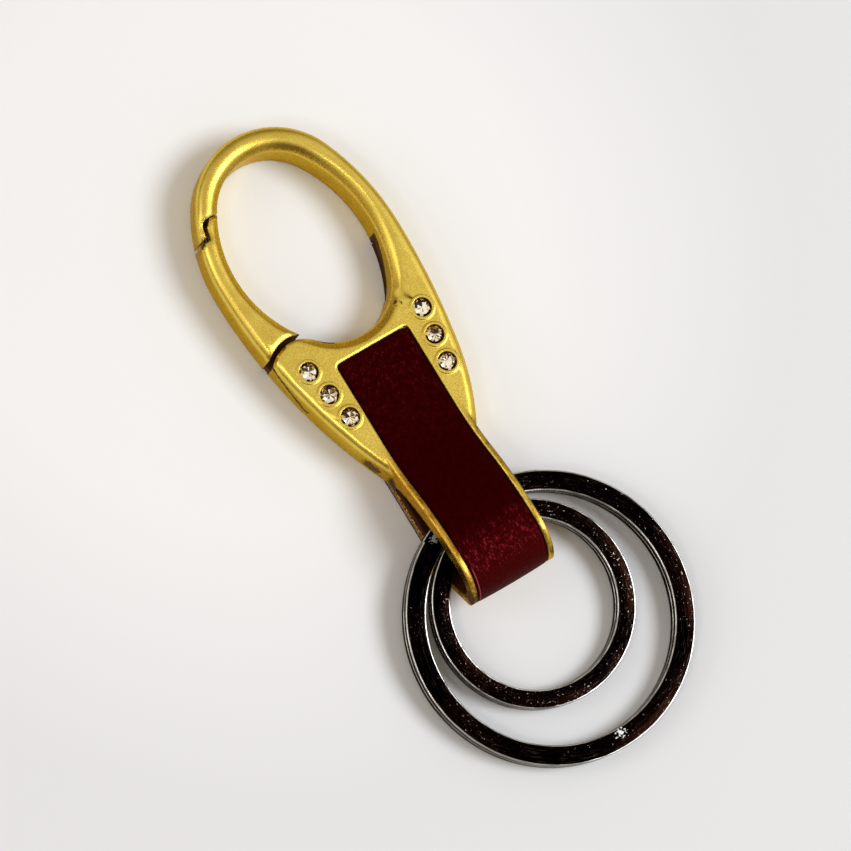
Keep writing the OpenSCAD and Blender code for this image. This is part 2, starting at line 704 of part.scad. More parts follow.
// Leather, a padded strip along the strap's top line
leather_floor = channel_depth - leather_gap;
flat_n = 6;
function path_flat(n) = [for (i = [0:n - 1]) [leather_top_y - leather_corner + (-rise_start - leather_top_y + leather_corner) * i / n, body_thickness, 90]];
function path_arc(c, r, a, b, n, flip) = [for (i = [0:n - 1]) let (t = a + (b - a) * i / n)
  [c[0] + r * cos(t), c[1] + r * sin(t), t + flip]];
leather_stop_angle = leather_end_angle - 1;
corner_n = 4;
leather_path = concat(
  [for (i = [0:corner_n - 1]) [leather_top_y - leather_corner * (1 - cos(90 * i / corner_n)), body_thickness, 90]],
  path_flat(flat_n),
  path_arc(rise_centre, rise_radius, 270, 270 - rise_angle, 9, -180),
  path_arc(crest_centre, crest_radius, 90 - rise_angle, 90, 12, 0),
  path_arc(end_centre, strap_end_radius, 90, leather_stop_angle, 16, 0),
  [concat(end_centre + strap_end_radius * unit(leather_stop_angle), [leather_stop_angle])]);
function leather_half(i) = i < corner_n
  ? leather_half_width - leather_corner * (1 - sin(90 * i / corner_n)) : leather_half_width;
function leather_soft(i) = i < corner_n ? sin(90 * (i + 0.4) / (corner_n + 0.4)) : 1;
section_share = [0, 0.35, 0.7, 1];

// Half section of the leather from its edge to its middle: distance in, height
function leather_section(i) = let (h = leather_half(i), q = leather_soft(i), r = leather_round, sw = leather_swell)
  [[-h, -leather_floor], [-h, -r * q - (1 - q) * r], [-h + 0.3 * r, -0.3 * r * q - (1 - q) * r],
   [-h + r, (sw * 0.35) * q - (1 - q) * r * 0.8], [-h * 0.6, (sw * 0.85) * q - (1 - q) * r * 0.7],
   [0, sw * q - (1 - q) * r * 0.7],
   [h * 0.6, (sw * 0.85) * q - (1 - q) * r * 0.7], [h - r, (sw * 0.35) * q - (1 - q) * r * 0.8],
   [h - 0.3 * r, -0.3 * r * q - (1 - q) * r], [h, -r * q - (1 - q) * r], [h, -leather_floor]];
leather_layers = [for (i = [0:len(leather_path) - 1]) let (p = leather_path[i])
  [for (s = leather_section(i)) [s[0], p[0] + s[1] * cos(p[2]), p[1] + s[1] * sin(p[2])]]];

module leather_inlay() {
  color([0.3, 0.03, 0.05]) stack([for (i = [len(leather_layers) - 1:-1:0]) leather_layers[i]]);
}

// Ring gate
hinge = [-hinge_y, knuckle_radius];
lug_x = knuckle_x - lug_gap;
hinge_side_x = ring_gate_half_width + hinge_side_gap;
knuckle_space = knuckle_radius + knuckle_gap;

module cross_rod(r, x0, x1) {
  translate([x0, -hinge_y, knuckle_radius]) rotate([0, 90, 0]) cylinder(r = r, h = x1 - x0);
}

module hinge_space() {
  for (m = [0, 1]) {
    mirror([m, 0, 0]) {
      cross_rod(knuckle_space, lug_x, hinge_side_x);
      translate([lug_x, -hinge_y - knuckle_space, -overrun])
        cube([hinge_side_x - lug_x, knuckle_space * 2, overrun + knuckle_radius]);
    }
  }
  cross_rod(pocket_radius, -pocket_half_width, pocket_half_width);
  translate([-pocket_half_width, -hinge_y - knuckle_space, -overrun])
    cube([pocket_half_width * 2, knuckle_space + pocket_radius, overrun + knuckle_radius]);
  cross_rod(hinge_pin_radius, -lug_x - overrun, lug_x + overrun);
}

bar_low = -loop_lip_y + lap_gap;
ring_gate_tip = loop_step_y - ring_gate_tip_gap;
bar_points = [
  [-hinge_y, 0], [-hinge_y, ring_gate_thickness],
  [-ring_gate_tip + ring_gate_round, ring_gate_thickness],
  [-ring_gate_tip, ring_gate_thickness - ring_gate_round],
  [-ring_gate_tip, loop_lip_z + lap_height_gap], [bar_low, loop_lip_z + lap_height_gap], [bar_low, 0]];
notch_y = loop_root_y + bar_lug_gap;

module ring_gate() {
  color([0.75, 0.6, 0.2]) difference() {
    union() {
      intersection() {
        side_extrude(bar_points, -ring_gate_half_width, ring_gate_half_width);
        translate([0, -hinge_y + overrun, 0]) rotate([90, 0, 0]) linear_extrude(height = outer_x)
          polygon([
            [-ring_gate_half_width, 0], [ring_gate_half_width, 0],
            [ring_gate_half_width, ring_gate_thickness - ring_gate_round],
            [ring_gate_half_width - ring_gate_round, ring_gate_thickness],
            [-ring_gate_half_width + ring_gate_round, ring_gate_thickness],
            [-ring_gate_half_width, ring_gate_thickness - ring_gate_round]]);
      }
      for (m = [0, 1]) {
        mirror([m, 0, 0]) cross_rod(knuckle_radius, knuckle_x, ring_gate_half_width);
      }
    }
    translate([-knuckle_x, -notch_y, -overrun]) cube([knuckle_x * 2, outer_x, body_thickness + overrun]);
    cross_rod(hinge_pin_radius + hinge_pin_gap, -outer_x, outer_x);
  }
}

module ring_gate_pin() {
  color([0.6, 0.6, 0.6])
    cross_rod(hinge_pin_radius, -ring_gate_half_width + hinge_pin_setback, ring_gate_half_width - hinge_pin_setback);
}

torsion_curls = 4;
torsion_steps = torsion_curls * 8;
torsion_half = torsion_pitch * torsion_curls / 2;
leg_end_z = ring_gate_thickness + torsion_wire + spring_end_gap;
leg_start_z = knuckle_radius + torsion_radius;
torsion_path = concat(
  [[-torsion_half, -hinge_y - torsion_leg, leg_end_z],
   [-torsion_half, -hinge_y - torsion_radius, leg_start_z - torsion_wire * 2]],
  [for (i = [0:torsion_steps]) let (a = 90 - 360 * torsion_curls * i / torsion_steps)
    [-torsion_half + torsion_pitch * torsion_curls * i / torsion_steps,
     -hinge_y + torsion_radius * cos(a), knuckle_radius + torsion_radius * sin(a)]]);
torsion_outs = concat([[0, 0, 1], [0, 0, 1]],
  [for (i = [0:torsion_steps]) let (a = 90 - 360 * torsion_curls * i / torsion_steps) [0, cos(a), sin(a)]]);

module ring_gate_spring() {
  color([0.6, 0.6, 0.6]) wire(torsion_path, torsion_outs, torsion_wire);
}

// Split rings
function ring_section(w, h, b) = [
  [b, 0], [w - b, 0], [w - b * 0.3, b * 0.3], [w, b], [w, h - b], [w - b * 0.3, h - b * 0.3],
  [w - b, h], [b, h], [b * 0.3, h - b * 0.3], [0, h - b], [0, b], [b * 0.3, b * 0.3]];

module split_ring(r, w, t, start) {
  h = (t - coil_gap) / 2;
  pts = ring_section(w, h, ring_bevel);
  ramp = 10;
  cover = crossing_angle * 0.05;
  rotate([0, 0, start + crossing_angle]) {
    for (k = [0, 1]) {
      translate([0, 0, -t / 2 + k * (h + coil_gap)]) rotate_extrude(angle = 360 - crossing_angle, $fn = 96)
        translate([r - w, 0]) polygon(pts);
    }
  }
  small = ring_section(w - weld * 2, h - weld * 2, ring_bevel);
  rotate([0, 0, start]) stack([for (i = [ramp + 2:-1:0]) let (
      j = i - 1,
      a = j < 0 ? -cover : j > ramp ? crossing_angle + cover : crossing_angle * j / ramp,
      s = j < 0 ? 0 : j > ramp ? 1 : (1 - cos(180 * j / ramp)) / 2,
      z = -t / 2 + weld + s * (h + coil_gap))
    [for (p = small) [(r - w + weld + p[0]) * cos(a), (r - w + weld + p[0]) * sin(a), z + p[1]]]]);
}

big_ring_y = rise_end + big_ring_hang;
small_ring_y = rise_end + small_ring_hang;
big_inner = big_ring_radius - big_ring_width;
big_touch = -big_ring_y + sqrt(pow(big_inner, 2) - pow(ring_gate_half_width + big_ring_x, 2));
big_tilt = atan((ring_gate_thickness + ring_rest_gap) / (big_touch + big_ring_y + big_ring_radius));
small_inner = small_ring_radius - small_ring_width;
small_touch = -small_ring_y + sqrt(pow(small_inner, 2) - pow(ring_gate_half_width + small_ring_x, 2));
small_tilt = atan((ring_gate_thickness + small_rest_gap) / (small_touch + small_ring_y + small_ring_radius));

// The upper coil ends at the crossing's end, so the wire is wound the other way up
module laid_ring(r, w, t, x, y, tilt, start) {
  translate([x, -y, r * sin(tilt) + t / 2 * cos(tilt)]) rotate([tilt, 0, 0]) mirror([0, 0, 1]) split_ring(r, w, t, start);
}

module big_ring() {
  color([0.15, 0.13, 0.13])
    laid_ring(big_ring_radius, big_ring_width, big_ring_thickness, big_ring_x, big_ring_y, big_tilt, big_start_angle);
}

module small_ring() {
  color([0.15, 0.13, 0.13])
    laid_ring(small_ring_radius, small_ring_width, small_ring_thickness, small_ring_x, small_ring_y, small_tilt,
      small_start_angle);
}

frame();
hook_gate();
gate_pin();
gate_spring();
leather_inlay();
crystal_left_1();
crystal_left_2();
crystal_left_3();
crystal_right_1();
crystal_right_2();
crystal_right_3();
ring_gate();
ring_gate_pin();
ring_gate_spring();
big_ring();
small_ring();
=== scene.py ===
from math import atan, cos, pi, radians, sin, sqrt

import bmesh
import bpy
from mathutils import Matrix, Vector


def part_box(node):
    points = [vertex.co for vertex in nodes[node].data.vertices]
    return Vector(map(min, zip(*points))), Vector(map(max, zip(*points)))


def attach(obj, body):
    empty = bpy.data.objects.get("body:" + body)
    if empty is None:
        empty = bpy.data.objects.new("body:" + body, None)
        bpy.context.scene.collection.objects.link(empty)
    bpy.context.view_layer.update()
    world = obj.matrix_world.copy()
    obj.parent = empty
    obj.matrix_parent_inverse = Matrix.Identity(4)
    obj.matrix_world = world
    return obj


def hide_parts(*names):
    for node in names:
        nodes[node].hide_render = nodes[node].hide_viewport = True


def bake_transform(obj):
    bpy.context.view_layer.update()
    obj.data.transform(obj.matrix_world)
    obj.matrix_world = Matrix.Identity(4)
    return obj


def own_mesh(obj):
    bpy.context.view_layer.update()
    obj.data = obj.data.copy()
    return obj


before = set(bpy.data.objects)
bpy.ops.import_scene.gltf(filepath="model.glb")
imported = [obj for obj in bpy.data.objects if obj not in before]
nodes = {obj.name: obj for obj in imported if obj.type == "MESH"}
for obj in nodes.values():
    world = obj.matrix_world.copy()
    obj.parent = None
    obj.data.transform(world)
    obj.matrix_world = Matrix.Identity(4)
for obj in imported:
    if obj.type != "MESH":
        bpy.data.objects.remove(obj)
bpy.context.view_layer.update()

MM = 0.001
MERGE = 0.0000001

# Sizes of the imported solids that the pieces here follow, in millimetres and degrees
BODY_THICKNESS = 6.0
PIVOT, RELIEF_CENTRE = (-8.2, 0.9), (-9.74, 13.44)
STRAP_RISE_START, STRAP_RISE_END, STRAP_RISE = 10.0, 26.9, 3.4
RISE_RADIUS, END_RADIUS = 19.0, 5.1
LEATHER_TOP, LEATHER_HALF, LEATHER_END = 0.2, 5.0, 175.0
RING_GATE_HALF, RING_GATE_THICK = 5.6, 1.7
RING_EDGE, COIL_PLAY, CROSSING = 0.14, 0.06, 24.0

# Marks: place, reach, cover. The notch low on the body's left side and the marks along the gate's nose seam
# are painted shade; the rest are worn marks
BODY_MARKS = (
    ((-6.9, -11.95, 3.0), 1.7, 0.85),
    ((-11.0, 18.2, 6.0), 0.8, 0.3),
    ((-5.65, -31.2, 5.8), 2.0, 0.85),
    ((-5.6, -29.6, 3.6), 1.6, 0.5),
    ((5.4, 3.1, 5.9), 1.8, 0.12),
)
GATE_MARKS = (
    ((-11.2, 11.8, 5.6), 0.9, 0.3),
    ((-9.86, 20.7, 2.6), 0.85, 0.95),
    ((-9.8, 20.95, 4.2), 0.7, 0.9),
    ((-9.6, 21.5, 5.3), 0.6, 0.9),
    ((-9.1, 22.3, 5.1), 0.6, 0.85),
    ((-11.1, 20.2, 5.5), 0.5, 0.8),
)
# The big ring's second spot is a painted glint beyond the upper wire's end; the other ring spots are scuffs
BIG_RING_MARKS = (
    ((2.4, -53.45, 2.4), 1.7, 0.26),
    ((-5.0, -22.9, 3.1), 0.8, 0.55),
)
SMALL_RING_MARKS = (
    ((12.9, -36.0, 3.0), 0.5, 0.1),
)

# Colours of the gold, its marks and the painted shade on it
GOLD_TONE, GATE_TONE = (0.73, 0.545, 0.098), (0.74, 0.545, 0.099)
GOLD_ROUGHNESS, GOLD_PITS = 0.28, 0.02
STRAP_GOLD = (0.68, 0.38, 0.045, 1.0)
RUBBED_GOLD = (0.26, 0.09, 0.012, 1.0)
GOLD_MARK_AND_SHADE = (0.05, 0.014, 0.003, 1.0)
# Painted shade in the gold's corners, seams and recesses, also the colour of the dark crack line
SHADE_AND_CRACK_BROWN = (0.045, 0.010, 0.002, 1.0)
# The gate bar: dark brown painted shade over its gold, and gold specks
GATE_BAR_PAINTED_SHADE, GATE_BAR_GOLD_SPECK = (0.045, 0.012, 0.003, 1.0), (0.66, 0.38, 0.06, 1.0)
# Dark filler standing for the shade in the relief of the opening
SHADE_FILL_DARK, SHADE_FILL_BROWN = (0.022, 0.003, 0.001, 1.0), (0.10, 0.04, 0.008, 1.0)

# Colours of the rings and pins
NICKEL_BLACK, NICKEL_BROWN = (0.0004, 0.0002, 0.0002, 1.0), (0.0036, 0.0010, 0.0005, 1.0)
NICKEL_SCRATCH, NICKEL_SPECK_AND_GLINT = (0.022, 0.014, 0.010, 1.0), (0.55, 0.53, 0.50, 1.0)
WALL_BLACK, WALL_SILVER = (0.016, 0.011, 0.009, 1.0), (0.66, 0.64, 0.61, 1.0)
STEEL_DARK, STEEL_LIGHT = (0.42, 0.41, 0.40, 1.0), (0.66, 0.65, 0.63, 1.0)

# Colours of the leather and the stones
LEATHER_DEEP, LEATHER_RED = (0.017, 0.0, 0.0001, 1.0), (0.024, 0.0001, 0.0002, 1.0)
# The leather's sheen and crease-line colours are painted highlights
LEATHER_FRONT, LEATHER_PAINTED_SHEEN = (0.046, 0.0014, 0.0016, 1.0), (0.046, 0.0014, 0.002, 1.0)
LEATHER_CREASE_HIGHLIGHT, LEATHER_CUT = (0.22, 0.014, 0.022, 1.0), (0.36, 0.07, 0.085, 1.0)
# The stones' colours are painted light: shade, tan reflections and white highlights
STONE_PAINTED_SHADE, STONE_PAINTED_TAN_REFLECTION = (0.02, 0.010, 0.005, 1.0), (0.74, 0.48, 0.17, 1.0)
STONE_PAINTED_HIGHLIGHT = (0.95, 0.89, 0.72, 1.0)

# The table, with a painted pool of light: paler near the hook and darker further out
TABLE_NEAR = (0.890, 0.893, 0.900, 1.0), (0.905, 0.908, 0.915, 1.0)
TABLE_FAR = (0.775, 0.78, 0.79, 1.0)

# The room: its tones from low to high, then the patches by direction, soft edge, share and tone
ROOM_LOW, ROOM_BAND = (0.05, 0.028, 0.014, 1.0), (0.50, 0.37, 0.22, 1.0)
ROOM_BRIGHT, ROOM_CEILING = (0.95, 0.92, 0.87, 1.0), (0.74, 0.70, 0.63, 1.0)
ROOM_MOTTLE, ROOM_FILL = (0.30, 0.20, 0.10, 1.0), (0.42, 0.37, 0.315, 1.0)
ROOM_PATCHES = (
    ((-0.53, -0.74, 0.40), 0.76, 0.94, 0.9, (0.10, 0.06, 0.03, 1.0)),
    ((0.42, 0.84, 0.34), 0.72, 0.94, 0.85, (0.24, 0.15, 0.05, 1.0)),
    ((0.80, -0.56, 0.20), 0.80, 0.95, 0.9, (1.0, 0.92, 0.80, 1.0)),
)

# Lamps: name, place in metres, size, power, colour
LAMPS = (
    ("key", (0.60, -0.42, 1.0), 0.64, 9.7, (0.95, 1.0, 1.06)),
    ("near_camera", (-0.52, -0.12, 0.85), 0.22, 0.9, (1.0, 1.0, 1.0)),
    ("window", (-0.75, 0.42, 0.55), 0.5, 1.4, (1.0, 0.98, 0.95)),
)
LAMPS_AIM = (0, -0.012, 0)

# Camera, at the photograph's viewing angle; its spot and the width seen there in millimetres
VIEW_RIGHT, VIEW_UP = (0.8308, -0.5194, 0.2), (0.4817, 0.8511, 0.2088)
VIEW_SPOT, VIEW_WIDTH, VIEW_DISTANCE = (0.70, -11.08, 5.31), 99.55, 0.8
SENSOR_WIDTH = 36.0


def photo_camera():
    right = Vector(VIEW_RIGHT).normalized()
    up = Vector(VIEW_UP)
    up = (up - right * up.dot(right)).normalized()
    back = right.cross(up)
    place = Vector(VIEW_SPOT) * MM + back * VIEW_DISTANCE
    data = bpy.data.cameras.new("photo_camera")
    data.sensor_width = SENSOR_WIDTH
    data.lens = SENSOR_WIDTH * VIEW_DISTANCE / (VIEW_WIDTH * MM)
    data.clip_start = 0.01
    camera = bpy.data.objects.new("photo_camera", data)
    bpy.context.scene.collection.objects.link(camera)
    camera.matrix_world = Matrix((
        (right.x, up.x, back.x, place.x),
        (right.y, up.y, back.y, place.y),
        (right.z, up.z, back.z, place.z),
        (0, 0, 0, 1)))
    bpy.context.scene.camera = camera


# Node helpers

def feed(tree, source, target):
    # Links a socket to another one, or sets its plain value
    if isinstance(source, bpy.types.NodeSocket):
        tree.links.new(source, target)
    else:
        target.default_value = source


def add_node(tree, kind, links=(), **values):
    made = tree.nodes.new(kind)
    for name, value in values.items():
        setattr(made, name, value)
    for socket, source in dict(links).items():
        feed(tree, source, made.inputs[socket])
    return made


def math_node(tree, operation, *terms, clamp=False):
    made = add_node(tree, "ShaderNodeMath", enumerate(terms), operation=operation, use_clamp=clamp)
    return made.outputs[0]


def fold(tree, operation, masks):
    total = masks[0]
    for mask in masks[1:]:
        total = math_node(tree, operation, total, mask)
    return total


def times(tree, *masks):
    return fold(tree, "MULTIPLY", masks)


def most(tree, *masks):
    return fold(tree, "MAXIMUM", masks)


def mix_colour(tree, share, low, high):
    made = add_node(tree, "ShaderNodeMix", {0: share, 6: low, 7: high}, data_type="RGBA")
    return made.outputs[2]


def ramp(tree, source, start, end, low=0.0, high=1.0):
    # Goes from low to high as source goes from start to end, and holds beyond them
    stops = {0: source, 1: start, 2: end, 3: low, 4: high}
    return add_node(tree, "ShaderNodeMapRange", stops, clamp=True).outputs[0]


def fade(tree, length, start, end, low=0.0, high=1.0):
    # A ramp along a length, with start and end in millimetres
    return ramp(tree, length, start * MM, end * MM, low, high)


def between(tree, length, low, high, soft):
    # 1 between two places in millimetres, with soft ends
    return times(tree, fade(tree, length, low - soft, low), fade(tree, length, high, high + soft, 1.0, 0.0))


def axes(tree, where):
    return add_node(tree, "ShaderNodeSeparateXYZ", {"Vector": where}).outputs


def distance(tree, where, spot):
    made = add_node(tree, "ShaderNodeVectorMath", {0: where, 1: spot}, operation="DISTANCE")
    return made.outputs["Value"]


def flat_reach(tree, where, centre):
    # Distance from an upright axis through a place in millimetres
    level = add_node(tree, "ShaderNodeVectorMath", {0: where, 1: (1.0, 1.0, 0.0)}, operation="MULTIPLY")
    return distance(tree, level.outputs[0], (centre[0] * MM, centre[1] * MM, 0.0))


def drawn_out(tree, where, scale, turn=0.0):
    # Coordinates stretched along the axes whose scale is below 1
    made = add_node(tree, "ShaderNodeMapping", {"Vector": where, "Scale": scale})
    made.inputs["Rotation"].default_value = (0.0, 0.0, radians(turn))
    return made.outputs["Vector"]


def noise(tree, where, scale, detail=2.0, rough=0.5, output="Fac"):
    links = {"Vector": where, "Scale": scale, "Detail": detail, "Roughness": rough}
    return add_node(tree, "ShaderNodeTexNoise", links).outputs[output]


# Effects that more than one material uses

def new_group(name, inputs, outputs):
    tree = bpy.data.node_groups.new(name, "ShaderNodeTree")
    for label, kind, value in inputs:
        socket = tree.interface.new_socket(label, in_out="INPUT", socket_type=kind)
        if value is not None:
            socket.default_value = value
    for label, kind in outputs:
        tree.interface.new_socket(label, in_out="OUTPUT", socket_type=kind)
    return tree, tree.nodes.new("NodeGroupInput").outputs, tree.nodes.new("NodeGroupOutput").inputs


def place_group(tree, group, **values):
    links = {name.replace("_", " "): value for name, value in values.items()}
    return add_node(tree, "ShaderNodeGroup", links, node_tree=group).outputs


def cast_grain_group():
    # Mottle, fine grain and small pits of a cast and plated surface
    tree, ins, outs = new_group(
        "cast_grain",
        [("Place", "NodeSocketVector", None), ("Mottle Scale", "NodeSocketFloat", 700.0),
         ("Grain Scale", "NodeSocketFloat", 6000.0), ("Pit Scale", "NodeSocketFloat", 900.0),
         ("Pit Share", "NodeSocketFloat", 0.1)],
        [("Mottle", "NodeSocketFloat"), ("Grain", "NodeSocketFloat"), ("Pits", "NodeSocketFloat")])
    tree.links.new(noise(tree, ins["Place"], ins["Mottle Scale"], 3.0), outs["Mottle"])
    tree.links.new(noise(tree, ins["Place"], ins["Grain Scale"], 3.0), outs["Grain"])
    pits = noise(tree, ins["Place"], ins["Pit Scale"], 4.0)
    edge = math_node(tree, "SUBTRACT", 0.78, ins["Pit Share"])
    deep = math_node(tree, "SUBTRACT", pits, edge)
    tree.links.new(math_node(tree, "MULTIPLY", deep, 14.0, clamp=True), outs["Pits"])
    return tree


def scuff_and_painted_spot_group():
    # One ragged mark inside a given reach of a given spot; it serves worn marks, painted shade and a
    # painted glint
    tree, ins, outs = new_group(
        "scuff_and_painted_spot",
        [("Place", "NodeSocketVector", None), ("Spot", "NodeSocketVector", (0, 0, 0)),
         ("Reach", "NodeSocketFloat", 0.001), ("Scale", "NodeSocketFloat", 3000.0),
         ("Cover", "NodeSocketFloat", 0.5)],
        [("Mark", "NodeSocketFloat")])
    share = math_node(tree, "DIVIDE", distance(tree, ins["Place"], ins["Spot"]), ins["Reach"])
    near = math_node(tree, "SUBTRACT", 1.0, share, clamp=True)
    cloud = noise(tree, ins["Place"], ins["Scale"], 3.0)
    ragged = math_node(tree, "SUBTRACT", math_node(tree, "MULTIPLY", cloud, 2.2), 0.6)
    edge = math_node(tree, "SUBTRACT", 1.5, ins["Cover"])
    past = math_node(tree, "SUBTRACT", math_node(tree, "ADD", near, ragged), edge)
    mark = math_node(tree, "MULTIPLY", past, 9.0, clamp=True)
    inside = math_node(tree, "MULTIPLY", near, 8.0, clamp=True)
    tree.links.new(times(tree, mark, inside), outs["Mark"])
    return tree


def ring_places_group():
    # Reach from a ring's axis, height along it, and coordinates wound round it
    tree, ins, outs = new_group(
        "ring_places",
        [("Place", "NodeSocketVector", None)],
        [("Reach", "NodeSocketFloat"), ("Height", "NodeSocketFloat"), ("Wound", "NodeSocketVector")])
    x, y, z = axes(tree, ins["Place"])
    reach = math_node(tree, "SQRT", math_node(tree, "ADD", times(tree, x, x), times(tree, y, y)))
    turn = times(tree, math_node(tree, "ARCTAN2", y, x), 0.0009)
    wound_place = add_node(tree, "ShaderNodeCombineXYZ", {"X": reach, "Y": turn, "Z": z})
    tree.links.new(reach, outs["Reach"])
    tree.links.new(z, outs["Height"])
    tree.links.new(wound_place.outputs[0], outs["Wound"])
    return tree


CAST_GRAIN = cast_grain_group()
SCUFF_AND_PAINTED_SPOT = scuff_and_painted_spot_group()
RING_PLACES = ring_places_group()


def scuffs_and_painted_spots(tree, where, spots, scale):
    marks = [place_group(tree, SCUFF_AND_PAINTED_SPOT, Place=where, Spot=[c * MM for c in spot], Reach=reach * MM,
                         Scale=scale, Cover=cover)["Mark"] for spot, reach, cover in spots]
    return most(tree, *marks)


def painted_crevice_shade(tree, reach, low, high):
    # Painted shade where the surface lies deep in a seam or corner
    depth = add_node(tree, "ShaderNodeAmbientOcclusion", {"Distance": reach * MM}, samples=8)
    return ramp(tree, depth.outputs["AO"], low, high, 1.0, 0.0)


def seam_shade_and_crack(tree, where):
    # Painted shade on the ledge of the gate's heel seam, on the wall above the relief of the opening and on
    # the loop's inner walls, and a dark line along the tongue slot
    x, y, z = axes(tree, where)
    seam = times(tree, between(tree, flat_reach(tree, where, PIVOT), 4.28, 5.0, 0.03),
                 fade(tree, z, 5.2, 5.35, 1.0, 0.0), fade(tree, y, 1.0, 1.2))
    slope = math_node(tree, "SUBTRACT", z, times(tree, y, 0.35))
    ragged = times(tree, noise(tree, where, 2800.0, 4.0, 0.7), 1.1 * MM)
    crack = times(tree, between(tree, math_node(tree, "ADD", slope, ragged), 3.98, 4.48, 0.06),
                  between(tree, y, -2.4, 3.6, 0.4), fade(tree, x, -9.6, -9.5, 1.0, 0.0))
    above = math_node(tree, "SUBTRACT", z, fade(tree, y, 4.5, 11.5, 1.7 * MM, 3.5 * MM))
    relief = times(tree, between(tree, flat_reach(tree, where, RELIEF_CENTRE), 17.6, 18.2, 0.05),
                   between(tree, y, 4.6, 11.8, 0.15), fade(tree, above, -0.06, 0.06, 1.0, 0.0))
    inside = add_node(tree, "ShaderNodeAttribute", attribute_name="inside").outputs["Fac"]
    return most(tree, seam, crack, relief, inside)


def edge_rounding(tree, where):
    # Radius of the worn edges: wide round the hook, crisp at the stones
    y = axes(tree, where)["Y"]
    stones = []
    for node in nodes:
        if node.startswith("crystal"):
            low, high = (Vector(c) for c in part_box(node))
            stones.append(distance(tree, where, tuple((low + high) / 2)))
    near = fold(tree, "MINIMUM", stones)
    return times(tree, fade(tree, y, 3.0, 8.0, 0.5, 1.15), fade(tree, near, 1.4, 2.2, 0.15, 1.0), MM)


def bump(tree, shader, height, strength, depth, rounding=None):
    # Relief up to a given depth, over edges that a bevel rounds in the shading
    made = add_node(tree, "ShaderNodeBump", {"Height": height, "Strength": strength, "Distance": depth})
    if rounding is not None:
        soft = add_node(tree, "ShaderNodeBevel", {"Radius": rounding}, samples=8)
        tree.links.new(soft.outputs["Normal"], made.inputs["Normal"])
    tree.links.new(made.outputs["Normal"], shader.inputs["Normal"])


# Materials

def new_material(name):
    made = bpy.data.materials.new(name)
    made.use_nodes = True
    tree = made.node_tree
    where = tree.nodes.new("ShaderNodeTexCoord").outputs["Object"]
    return made, tree, tree.nodes["Principled BSDF"], where


def gold_plating(name, tone, spots):
    made, tree, shader, where = new_material(name)
    grain = place_group(tree, CAST_GRAIN, Place=where, Mottle_Scale=380.0, Grain_Scale=5200.0,
                        Pit_Scale=1300.0, Pit_Share=GOLD_PITS)
    light = [min(1.0, c * 1.05) for c in tone] + [1.0]
    dark = [c * g for c, g in zip(tone, (0.92, 0.88, 0.75))] + [1.0]
    colour = mix_colour(tree, ramp(tree, grain["Mottle"], 0.3, 0.7), dark, light)
    # Pits and the listed marks; the notch and nose-seam marks among them are painted shade
    marks = most(tree, grain["Pits"], scuffs_and_painted_spots(tree, where, spots, 2600.0))
    # The strap's rims are the most worn part of the casting
    x, y, z = axes(tree, where)
    strap = fade(tree, y, -15.0, -11.0, 1.0, 0.0)
    colour = mix_colour(tree, times(tree, strap, fade(tree, x, -2.0, 2.0, 0.8, 0.15)), colour, STRAP_GOLD)
    rub = noise(tree, drawn_out(tree, where, (1.0, 0.3, 1.0)), 2600.0, 5.0, 0.7)
    rubbed = times(tree, ramp(tree, rub, 0.50, 0.60, 0.0, 0.7), strap)
    colour = mix_colour(tree, rubbed, colour, RUBBED_GOLD)
    colour = mix_colour(tree, times(tree, marks, 0.9), colour, GOLD_MARK_AND_SHADE)
    # Painted shade in corners, seams, the relief and the loop, and the dark crack line along the tongue
    # slot
    painted_shade_and_crack = most(tree, painted_crevice_shade(tree, 0.5, 0.16, 0.55), seam_shade_and_crack(tree, where))
    colour = mix_colour(tree, times(tree, painted_shade_and_crack, 0.97), colour, SHADE_AND_CRACK_BROWN)
    tree.links.new(colour, shader.inputs["Base Color"])
    darkened = most(tree, painted_shade_and_crack, times(tree, marks, 0.9))
    tree.links.new(math_node(tree, "SUBTRACT", 1.0, darkened), shader.inputs["Metallic"])
    tree.links.new(ramp(tree, darkened, 0.0, 1.0, 0.10, 0.0), shader.inputs["Coat Weight"])
    shader.inputs["Coat Roughness"].default_value = 0.16
    shader.inputs["Specular IOR Level"].default_value = 0.05
    shader.inputs["Specular Tint"].default_value = (0.80, 0.60, 0.25, 1.0)
    fine = ramp(tree, grain["Grain"], 0.25, 0.75, GOLD_ROUGHNESS - 0.06, GOLD_ROUGHNESS + 0.07)
    rough = math_node(tree, "ADD", fine, times(tree, most(tree, marks, painted_shade_and_crack), 0.3))
    tree.links.new(rough, shader.inputs["Roughness"])
    height = math_node(tree, "SUBTRACT", times(tree, grain["Grain"], 0.3), marks)
    bump(tree, shader, height, 0.08, 0.05 * MM, edge_rounding(tree, where))
    return made


def shaded_gate_bar(name):
    # The gate bar's gold, painted dark brown as painted shade, with gold specks where its grain catches the
    # light
    made, tree, shader, where = new_material(name)
    z = axes(tree, where)["Z"]
    specks = times(tree, ramp(tree, noise(tree, where, 4600.0, 3.0, 0.7), 0.47, 0.55),
                   fade(tree, z, 0.4, 0.55), fade(tree, z, 1.35, 1.5, 1.0, 0.0))
    tree.links.new(mix_colour(tree, specks, GATE_BAR_PAINTED_SHADE, GATE_BAR_GOLD_SPECK), shader.inputs["Base Color"])
    tree.links.new(ramp(tree, specks, 0.0, 1.0, 0.4, 1.0), shader.inputs["Metallic"])
    shader.inputs["Specular IOR Level"].default_value = 0.15
    tree.links.new(ramp(tree, specks, 0.0, 1.0, 0.5, 0.28), shader.inputs["Roughness"])
    bump(tree, shader, specks, 0.5, 0.04 * MM, 0.3 * MM)
    return made


